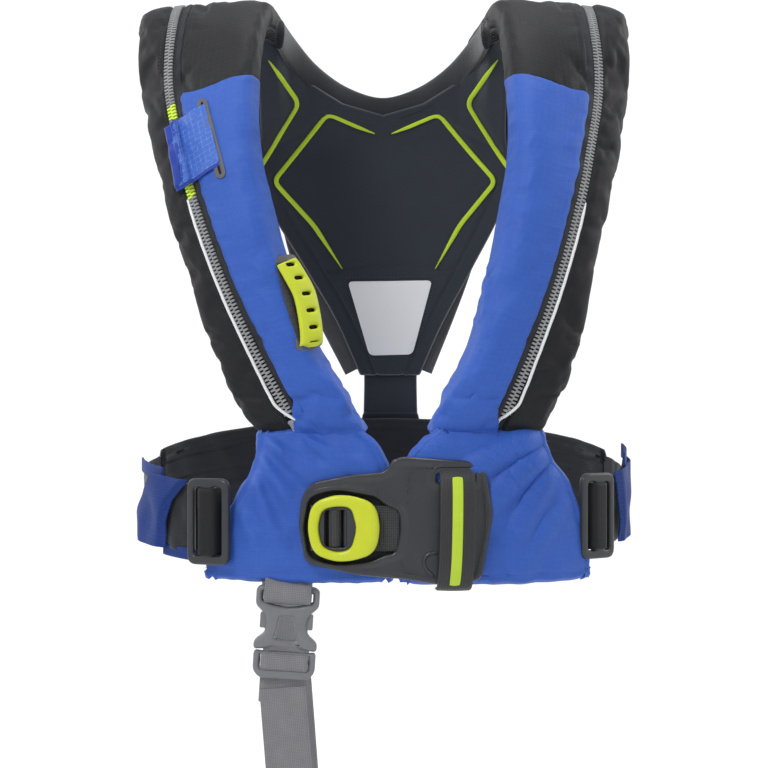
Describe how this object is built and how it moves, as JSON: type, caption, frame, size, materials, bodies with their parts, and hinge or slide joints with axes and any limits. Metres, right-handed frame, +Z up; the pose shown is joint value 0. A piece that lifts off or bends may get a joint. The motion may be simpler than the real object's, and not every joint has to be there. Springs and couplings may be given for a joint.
{
  "type": "inflatable life jacket",
  "caption": "Worn horseshoe inflatable life jacket with a padded back yoke, a waist belt with a lever buckle and tether loop, and a crotch strap with a side-release buckle.",
  "frame": {"origin": "the point midway between the wearer's shoulders, at the height where the jacket bears on them", "axes": "+Z up, the jacket's front faces -Y, +X is to the viewer's right when looking at the front"},
  "size_m": [0.4419, 0.3181, 0.7969],
  "materials": {
    "blue_ripstop": "polyurethane-coated ripstop, satin",
    "black_ripstop": "ripstop nylon, matt",
    "spacer_mesh": "knitted spacer mesh",
    "navy_softshell": "brushed softshell",
    "zip_grey": "moulded zip teeth",
    "reflective": "retroreflective tape",
    "lime_print": "raised print and woven stripe",
    "lime_plastic": "satin moulded",
    "weld_film": "welded film",
    "black_webbing": "woven webbing",
    "grey_webbing": "woven webbing",
    "black_plastic": "satin moulded",
    "grey_plastic": "satin moulded",
    "steel": "ground pin",
    "jerk_red": "moulded",
    "bladder_fabric": "coated bladder cloth",
    "cylinder_paint": "painted steel cylinder",
    "whistle_orange": "moulded",
    "clear_plastic": "clear",
    "hood_fabric": "folded hood cloth"
  },
  "bodies": {
    "harness": {"back_strap": "black_webbing", "back_yoke": "navy_softshell", "backing_panel_left": "spacer_mesh", "backing_panel_right": "spacer_mesh", "belt_end_webbing": "black_webbing", "belt_webbing_left": "black_webbing", "belt_webbing_right": "black_webbing", "bladder": "bladder_fabric", "buckle_socket": "grey_plastic", "burst_zip": "zip_grey", "collar": "navy_softshell", "crotch_hanger": "grey_webbing", "firing_head": "black_plastic", "front_panel_left": "blue_ripstop", "front_panel_right": "blue_ripstop", "front_plate": "black_plastic", "handle_grip_strip": "weld_film", "jerk_lever_pin": "steel", "lever_pin": "steel", "light_battery": "black_plastic", "light_lens": "clear_plastic", "neck_cover": "black_ripstop", "oral_tube": "black_plastic", "pull_tab_left": "blue_ripstop", "pull_tab_right": "blue_ripstop", "rear_belt_pad": "spacer_mesh", "rear_strap_tab": "grey_webbing", "reflective_patch": "reflective", "reflective_piping": "reflective", "shoulder_panel_left": "black_ripstop", "shoulder_panel_right": "black_ripstop", "side_gusset_left": "black_ripstop", "side_gusset_right": "black_ripstop", "spray_hood": "hood_fabric", "tether_loop": "black_webbing", "tether_stripe": "lime_print", "waist_panel_left": "blue_ripstop", "waist_panel_right": "blue_ripstop", "webbing_bar": "black_plastic", "weld_patches": "weld_film", "whistle": "whistle_orange", "yoke_trim": "lime_print", "yoke_webbing": "grey_webbing"},
    "release_lever": {"release_lever": "lime_plastic"},
    "side_adjuster_left": {"side_adjuster_left": "black_plastic", "adjuster_webbing_left": "black_webbing"},
    "side_adjuster_right": {"side_adjuster_right": "black_plastic", "adjuster_webbing_right": "black_webbing"},
    "pull_handle": {"pull_handle": "lime_plastic"},
    "jerk_lever": {"jerk_lever": "jerk_red"},
    "burst_tab": {"burst_tab": "blue_ripstop"},
    "zip_slider": {"zip_slider": "zip_grey"},
    "gas_cylinder": {"gas_cylinder": "cylinder_paint"},
    "oral_tube_cap": {"oral_tube_cap": "black_plastic"},
    "buckle_tongue": {"buckle_tongue": "grey_plastic", "ladder_webbing": "grey_webbing", "crotch_strap": "grey_webbing"},
    "buckle_prong_left": {"buckle_prong_left": "grey_plastic"},
    "buckle_prong_right": {"buckle_prong_right": "grey_plastic"}
  },
  "joints": [
    {"name": "release_lever_hinge", "type": "hinge", "parent": "harness", "child": "release_lever", "pos_m": [-0.06059, -0.16443, -0.431], "axis": [0, 0, -1], "range_deg": [0, 80]},
    {"name": "side_adjuster_left_tilt", "type": "hinge", "parent": "harness", "child": "side_adjuster_left", "pos_m": [-0.16477, -0.11803, -0.42769], "axis": [0, 0, -1], "range_deg": [0, 25]},
    {"name": "side_adjuster_right_tilt", "type": "hinge", "parent": "harness", "child": "side_adjuster_right", "pos_m": [0.1982, -0.08699, -0.42415], "axis": [0, 0, 1], "range_deg": [0, 25]},
    {"name": "pull_handle_slide", "type": "slide", "parent": "harness", "child": "pull_handle", "axis": [0.1, -0.9803, -0.1701], "range_m": [0, 0.05]},
    {"name": "jerk_lever_hinge", "type": "hinge", "parent": "harness", "child": "jerk_lever", "pos_m": [-0.07945, -0.1486, -0.25388], "axis": [-0.4766, -0.8783, -0.0388], "range_deg": [0, 75]},
    {"name": "burst_tab_hinge", "type": "hinge", "parent": "harness", "child": "burst_tab", "pos_m": [-0.18805, -0.09928, -0.10623], "axis": [0.1904, -0.4225, -0.8861], "range_deg": [0, 80]},
    {"name": "zip_slider_travel", "type": "slide", "parent": "harness", "child": "zip_slider", "axis": [-0.6042, -0.3112, 0.7336], "range_m": [0, 0.015]},
    {"name": "gas_cylinder_thread", "type": "hinge", "parent": "harness", "child": "gas_cylinder", "pos_m": [-0.10358, -0.13729, -0.21346], "axis": [-0.3105, 0.1269, 0.9421], "range_deg": [0, 720]},
    {"name": "oral_cap_pull", "type": "slide", "parent": "harness", "child": "oral_tube_cap", "axis": [0.2301, 0.1299, 0.9644], "range_m": [0, 0.012]},
    {"name": "crotch_buckle_release", "type": "slide", "parent": "harness", "child": "buckle_tongue", "axis": [-0.0611, 0, -0.9981], "range_m": [0, 0.045]},
    {"name": "prong_left_squeeze", "type": "hinge", "parent": "buckle_tongue", "child": "buckle_prong_left", "pos_m": [-0.09906, -0.134, -0.535], "axis": [0, 1, 0], "range_deg": [0, 7], "stiffness_Nm_per_rad": 0.3},
    {"name": "prong_right_squeeze", "type": "hinge", "parent": "buckle_tongue", "child": "buckle_prong_right", "pos_m": [-0.06812, -0.134, -0.5369], "axis": [0, -1, 0], "range_deg": [0, 7], "stiffness_Nm_per_rad": 0.3}
  ],
  "couplings": [
    {"joint": "jerk_lever_hinge", "follows": "pull_handle_slide", "rad_per_m": 26},
    {"joint": "prong_right_squeeze", "follows": "prong_left_squeeze", "ratio": 1}
  ]
}
